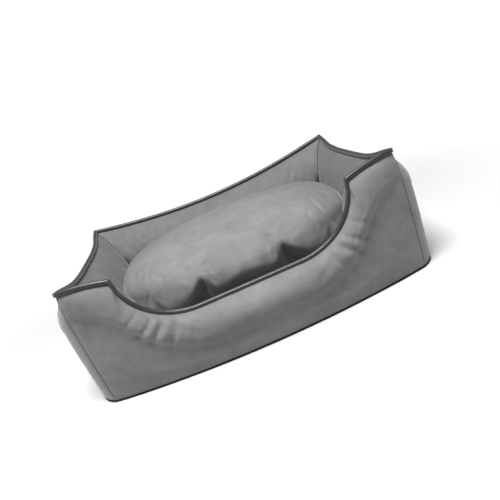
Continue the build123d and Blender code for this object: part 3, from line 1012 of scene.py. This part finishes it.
# %% Helpers for flat pieces
def plate(name, outline, heights, round_mm, material, node):
    """A flat piece with softly rounded edges on an outline, between two heights."""
    low, high = heights
    bm = bmesh.new()
    face = bm.faces.new([bm.verts.new((x, y, low)) for x, y in outline])
    risen = bmesh.ops.extrude_face_region(bm, geom=[face])["geom"]
    top = [item for item in risen if isinstance(item, bmesh.types.BMVert)]
    bmesh.ops.translate(bm, verts=top, vec=(0, 0, high - low))
    bmesh.ops.recalc_face_normals(bm, faces=bm.faces)
    edges = [edge for edge in bm.edges if abs(edge.verts[0].co.z - edge.verts[1].co.z) < 0.001]
    bmesh.ops.bevel(
        bm,
        geom=edges,
        offset=round_mm,
        offset_type="OFFSET",
        segments=3,
        profile=0.5,
        affect="EDGES",
        material=-1,
    )
    piece = new_piece(name, bm, material, "bed")
    piece.data.set_sharp_from_angle(angle=radians(35))
    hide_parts(node)
    return piece


def rounded_rectangle(half_wide, half_high, corner, points):
    """A closed line with a quarter of a circle at each corner."""
    line = []
    for quarter, (side_x, side_y) in enumerate(((1, 1), (-1, 1), (-1, -1), (1, -1))):
        for turn in np.radians(np.linspace(0, 90, points) + 90 * quarter):
            x = side_x * (half_wide - corner) + corner * cos(turn)
            line.append((x, side_y * (half_high - corner) + corner * sin(turn)))
    return line


# %% The base fabric
base_heights, base_round = (0.0, 3.2), 1.0
base_outline = []
for wall, backwards in (("front", False), ("right", False), ("back", True), ("left", True)):
    line = [cut.at(cut.base, 0) for cut in wall_cuts[wall]][:: -1 if backwards else 1]
    base_outline += [(p.x, p.y) for p in line[:-1]]
base_sheet = plate(
    "base_grip_fabric", base_outline, base_heights, base_round, grip_fabric, "base_fabric"
)

# %% The pad
pad_corner, pad_round = 12.0, 2.5
pad_low, pad_high = (np.array(corner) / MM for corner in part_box("base_pad"))
pad_outline = rounded_rectangle(pad_high[0], pad_high[1], pad_corner, 8)
pad_heights = (pad_low[2], pad_high[2])
pad = plate("base_felt_pad", pad_outline, pad_heights, pad_round, felt, "base_pad")
print("pad:", (pad_high - pad_low).round(1), "mm")

# %% The lining
lining_cloth, lining_lift, lining_cells = 1.2, 0.45, (110, 70)
lining_low, lining_high = (np.array(corner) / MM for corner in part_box("floor_lining"))
lining_size = (lining_high - lining_low)[:2]


def ripple(x, y):
    """Two faint sets of ripples, about 195 and 145 mm long, that bend a little."""
    return 0.25 * sin(x / 31 + 1.3 * sin(y / 47)) + 0.2 * sin(y / 23 + 0.9 * sin(x / 38))


bm = bmesh.new()
bmesh.ops.create_grid(bm, x_segments=lining_cells[0], y_segments=lining_cells[1], size=0.5)
for vert in bm.verts:
    x, y = vert.co.x * lining_size[0], vert.co.y * lining_size[1]
    vert.co = (x, y, lining_low[2] + lining_lift + ripple(x, y))
bmesh.ops.solidify(bm, geom=bm.faces[:], thickness=-lining_cloth)
bmesh.ops.recalc_face_normals(bm, faces=bm.faces)
# The lining takes the same darker velvet, painted shade under the cushion
lining = new_piece("floor_velvet_lining", bm, inner_velvet_painted_shade, "bed")
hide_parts("floor_lining")
print("lining:", lining_size.round(1), "mm")

# %% [markdown]
# ## Zips
#
# Both covers open with an ordinary coil zip of polyester: two woven tapes, a spiral of nylon
# thread sewn along each, an enamelled zinc slider with a pull, and a stop at each end. The
# slider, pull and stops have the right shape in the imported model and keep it. One turn under an
# Array modifier would make a spiral of loose links, so each is drawn as one thin round curve. A
# welt of velvet frames each zip, with small stitches outside it.


# %% Materials of the zips
def woven_tape(name, dark, light, thread_mm):
    """Woven tape: waves in two directions, the higher of the two at each place."""
    material, surface = start(name, Roughness=0.8, Sheen_Weight=0.2)
    place = add(material, "ShaderNodeTexCoord").outputs["Object"]
    wave = {"Vector": place, "Scale": 1000 / thread_mm / 6.3, "Distortion": 0.6}
    across = add(material, "ShaderNodeTexWave", wave).outputs["Fac"]
    along = add(material, "ShaderNodeTexWave", wave, bands_direction="Z").outputs["Fac"]
    threads = add(material, "ShaderNodeMath", {0: across, 1: along}, operation="MAXIMUM")
    relief = add(material, "ShaderNodeBump", {"Height": threads, "Strength": 0.6, "Distance": 0.25 * MM})
    return lay_on(material, surface, shade_between(material, threads, dark, light, 0.2, 0.9), relief)


def satin(name, ground, rubbed):
    """A satin surface, faintly pitted and rubbed lighter in small spots."""
    material, surface = start(name, Roughness=0.38)
    place = add(material, "ShaderNodeTexCoord").outputs["Object"]
    wear = add(
        material, "ShaderNodeTexNoise", {"Vector": place, "Scale": 1000 / 3, "Detail": 6, "Roughness": 0.7}
    )
    pits = add(material, "ShaderNodeTexNoise", {"Vector": place, "Scale": 1000 / 0.7, "Detail": 2})
    relief = add(material, "ShaderNodeBump", {"Height": pits, "Strength": 0.25, "Distance": 0.1 * MM})
    return lay_on(material, surface, shade_between(material, wear, ground, rubbed, 0.55, 0.72), relief)


# The tape's threads are 0.3 mm wide, too fine to show, and are drawn 0.8 mm wide. The tape looks dull
zip_tape = woven_tape("woven_polyester_zip_tape", "2b2c2e", "3c3d40", 0.8)
# Nylon monofilament is a hard round thread, smoother and shinier than the tape
nylon = satin("nylon_monofilament", "26272a", "333437")
# Baked enamel on die-cast zinc is paint, so it isn't metallic. It is satin black, rubbed grey in spots
zinc_enamel = satin("satin_enamel_on_zinc", "1f1f21", "56565a")
# Spun polyester thread is dull, a shade darker than the velvet
thread = fibrous("polyester_sewing_thread", "6c6d6f", "8a8b8d", 0.6, 0.1, 0.7)
print("zips:", zip_tape.name, nylon.name, zinc_enamel.name, thread.name)

# %% Tapes and spirals
# A tape's edges, off the zip's middle line, and how far it reaches beyond the zip
tape_inner, tape_outer, tape_beyond = 1.0, 8.4, 8.0
# How far out it lies, how thick it is, and how high and how long its ripples are
tape_out, tape_thick, tape_wave, tape_wave_mm = 0.45, 0.45, 0.1, 4.3
# From turn to turn, the thread's radius, what stays bare at each end, and the points in a turn
coil_pitch, coil_wire, coil_end, turn_points = 1.5, 0.32, 0.4, 8
# The middle of a spiral, up the face and out of it, and how far the thread reaches round it
coil_middle_up, coil_middle_out, coil_reach_up, coil_reach_out = 1.6, 1.4, 0.58, 0.68


def zip_tape_strip(place, side):
    """One tape: a thin strip that ripples a little where it is sewn."""
    bm = bmesh.new()
    bmesh.ops.create_grid(bm, x_segments=160, y_segments=4, size=0.5)
    for vert in bm.verts:
        x = vert.co.x * (place.length + 2 * tape_beyond)
        share = vert.co.y + 0.5
        up = side * (tape_inner + (tape_outer - tape_inner) * share)
        vert.co = place.at(x, up, tape_out + tape_wave * share * sin(x / tape_wave_mm + side))
    bmesh.ops.solidify(bm, geom=bm.faces[:], thickness=tape_thick)
    bmesh.ops.recalc_face_normals(bm, faces=bm.faces)
    return bm


def coil_thread(place, side):
    """One spiral of round thread along the tape's inner edge."""
    steps = int(place.length / coil_pitch) * turn_points
    line = []
    for number in range(steps + 1):
        angle = 2 * pi * number / turn_points
        x = -place.length / 2 + coil_end + (place.length - 2 * coil_end) * number / steps
        up = side * (coil_middle_up + coil_reach_up * cos(angle))
        line.append(place.at(x, up, coil_middle_out + coil_reach_out * sin(angle)))
    bm = tube_along(line, coil_wire, sides=4)
    bmesh.ops.recalc_face_normals(bm, faces=bm.faces)
    return bm


# %% Welts and stitches
# The welt's place up the face, its radius, how far it lies beyond the zip, and how far out
welt_up, welt_radius, welt_beyond, welt_out = 8.6, 1.9, 11.0, -0.1
# From stitch to stitch, half a stitch, its place up the face and out of it, and the thread's radius
stitch_pitch, stitch_half, stitch_up, stitch_out, stitch_thick = 4.0, 1.3, 11.7, -0.75, 0.35
frame_corner, frame_points = 4.0, 6


def zip_frame(place, up, beyond):
    """A rounded rectangle round a zip."""
    return rounded_rectangle(place.length / 2 + beyond, up, frame_corner, frame_points)


def welt(place):
    """A round edge of velvet that frames the zip."""
    ring = [place.at(x, up, welt_out) for x, up in zip_frame(place, welt_up, welt_beyond)]
    bm = tube_along(ring, welt_radius, sides=12, ring=True)
    bmesh.ops.recalc_face_normals(bm, faces=bm.faces)
    return bm


def stitches(place):
    """Stitches outside the welt, each a small rounded bar that sinks in at both ends."""
    line = zip_frame(place, stitch_up, welt_beyond + stitch_up - welt_up)
    line = spaced(line + line[:1], stitch_pitch)
    bm = bmesh.new()
    for (x0, up0), (x1, up1) in zip(line[:-1], line[1:]):
        made = bmesh.ops.create_uvsphere(bm, u_segments=6, v_segments=5, radius=1)["verts"]
        angle = np.arctan2(up1 - up0, x1 - x0)
        for vert in made:
            along, aside, raised = vert.co.z * stitch_half, vert.co.x * stitch_thick, vert.co.y * stitch_thick
            x = (x0 + x1) / 2 + along * cos(angle) - aside * sin(angle)
            up = (up0 + up1) / 2 + along * sin(angle) + aside * cos(angle)
            vert.co = place.at(x, up, stitch_out + raised)
    bmesh.ops.recalc_face_normals(bm, faces=bm.faces)
    return bm


# %% Both zips in place
for name, place, body in (("cover", cover_zip, "bed"), ("cushion", cushion_zip, "cushion")):
    for half, side in (("upper", 1), ("lower", -1)):
        strip, spiral = zip_tape_strip(place, side), coil_thread(place, side)
        tape = new_piece(f"{name}_zip_{half}_woven_tape", strip, zip_tape, body)
        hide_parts(f"{name}_zip_{half}_tape")
        coil = new_piece(f"{name}_zip_{half}_spiral", spiral, nylon, body)
        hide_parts(f"{name}_zip_{half}_coil")
    new_piece(f"{name}_zip_welt", welt(place), cover_velvet, body)
    new_piece(f"{name}_zip_stitches", stitches(place), thread, body)
    print(name, "zip:", len(coil.data.polygons), "faces in a spiral")

for name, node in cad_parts.items():
    if name.endswith(("_stop", "_slider", "_zip_pull")):
        for slot in node.material_slots:
            slot.material = zinc_enamel

# %% [markdown]
# ## The studio
#
# A plain pale floor and soft light. One large lamp hangs above and a little in front, so that
# the tops of the walls and the dome are light and the undersides dark, and a dim even sky fills
# the shadows. Two weak lamps light the ends. A bigger floor would still show a horizon, so the
# round floor fades out into the sky, which the camera sees as white paper. Colours are shown as
# they are, without a film look, so hex values match what is seen.

# %% The floor
floor_radius, fade_from, fade_to = 1.9, 0.6, 1.05
floor_lit, floor_seen = "b9b9b9", "fcfcfc"
bm = bmesh.new()
bmesh.ops.create_circle(bm, cap_ends=True, segments=96, radius=floor_radius)
floor_mesh = bpy.data.meshes.new("floor")
bm.to_mesh(floor_mesh)
bm.free()
floor = bpy.data.objects.new("floor", floor_mesh)
scene.collection.objects.link(floor)
paper, paper_surface = start("matt_paper", Roughness=0.9)
seen = add(paper, "ShaderNodeLightPath").outputs["Is Camera Ray"]
tone = add(
    paper,
    "ShaderNodeMix",
    {"Factor": seen, "A": linear(floor_lit), "B": linear(floor_seen)},
    data_type="RGBA",
)
place = add(paper, "ShaderNodeTexCoord").outputs["Object"]
far = add(paper, "ShaderNodeVectorMath", {0: place}, operation="LENGTH").outputs["Value"]
fade = add(
    paper,
    "ShaderNodeMapRange",
    {"Value": far, "From Min": fade_from, "From Max": fade_to, "To Min": 1.0, "To Max": 0.0},
)
unseen = add(paper, "ShaderNodeMath", {0: 1.0, 1: seen}, operation="SUBTRACT")
solid = add(paper, "ShaderNodeMath", {0: fade, 1: unseen}, operation="MAXIMUM")
paper.node_tree.links.new(tone.outputs["Result"], paper_surface.inputs["Base Color"])
paper.node_tree.links.new(solid.outputs["Value"], paper_surface.inputs["Alpha"])
floor_mesh.materials.append(paper)
print("the floor is", 2 * floor_radius, "m wide and fades from", fade_from, "m on")

# %% The sky
sky_lit, sky_seen = 0.12, 1.05
# A world has a tree of nodes as a material has, so the same helper adds them
world = bpy.data.worlds.new("pale_sky")
scene.world = world
world.use_nodes = True
seen = add(world, "ShaderNodeLightPath").outputs["Is Camera Ray"]
strength = add(world, "ShaderNodeMapRange", {"Value": seen, "To Min": sky_lit, "To Max": sky_seen})
sky = world.node_tree.nodes["Background"]
sky.inputs["Color"].default_value = linear("ffffff")
world.node_tree.links.new(strength.outputs["Result"], sky.inputs["Strength"])
scene.view_settings.view_transform = "Standard"
print("view transform:", scene.view_settings.view_transform)


# %% The lamps
def lamp(name, place, aim, size, watts):
    """A soft rectangular lamp that points at a place."""
    light = bpy.data.lights.new(name, "AREA")
    light.shape = "RECTANGLE"
    light.size, light.size_y = size
    light.energy = watts
    holder = bpy.data.objects.new(name, light)
    scene.collection.objects.link(holder)
    holder.location = place
    holder.rotation_euler = (Vector(aim) - Vector(place)).to_track_quat("-Z", "Y").to_euler()
    print(name, watts, "W")


lamp("soft_key", (-0.12, -0.66, 2.06), (0, 0, 0.05), (1.0, 0.8), 49)
lamp("soft_left", (-1.6, -0.2, 0.3), (-0.4, -0.1, 0.12), (0.7, 0.4), 7)
lamp("soft_right", (1.6, -0.2, 0.3), (0.4, -0.1, 0.12), (0.7, 0.4), 5)
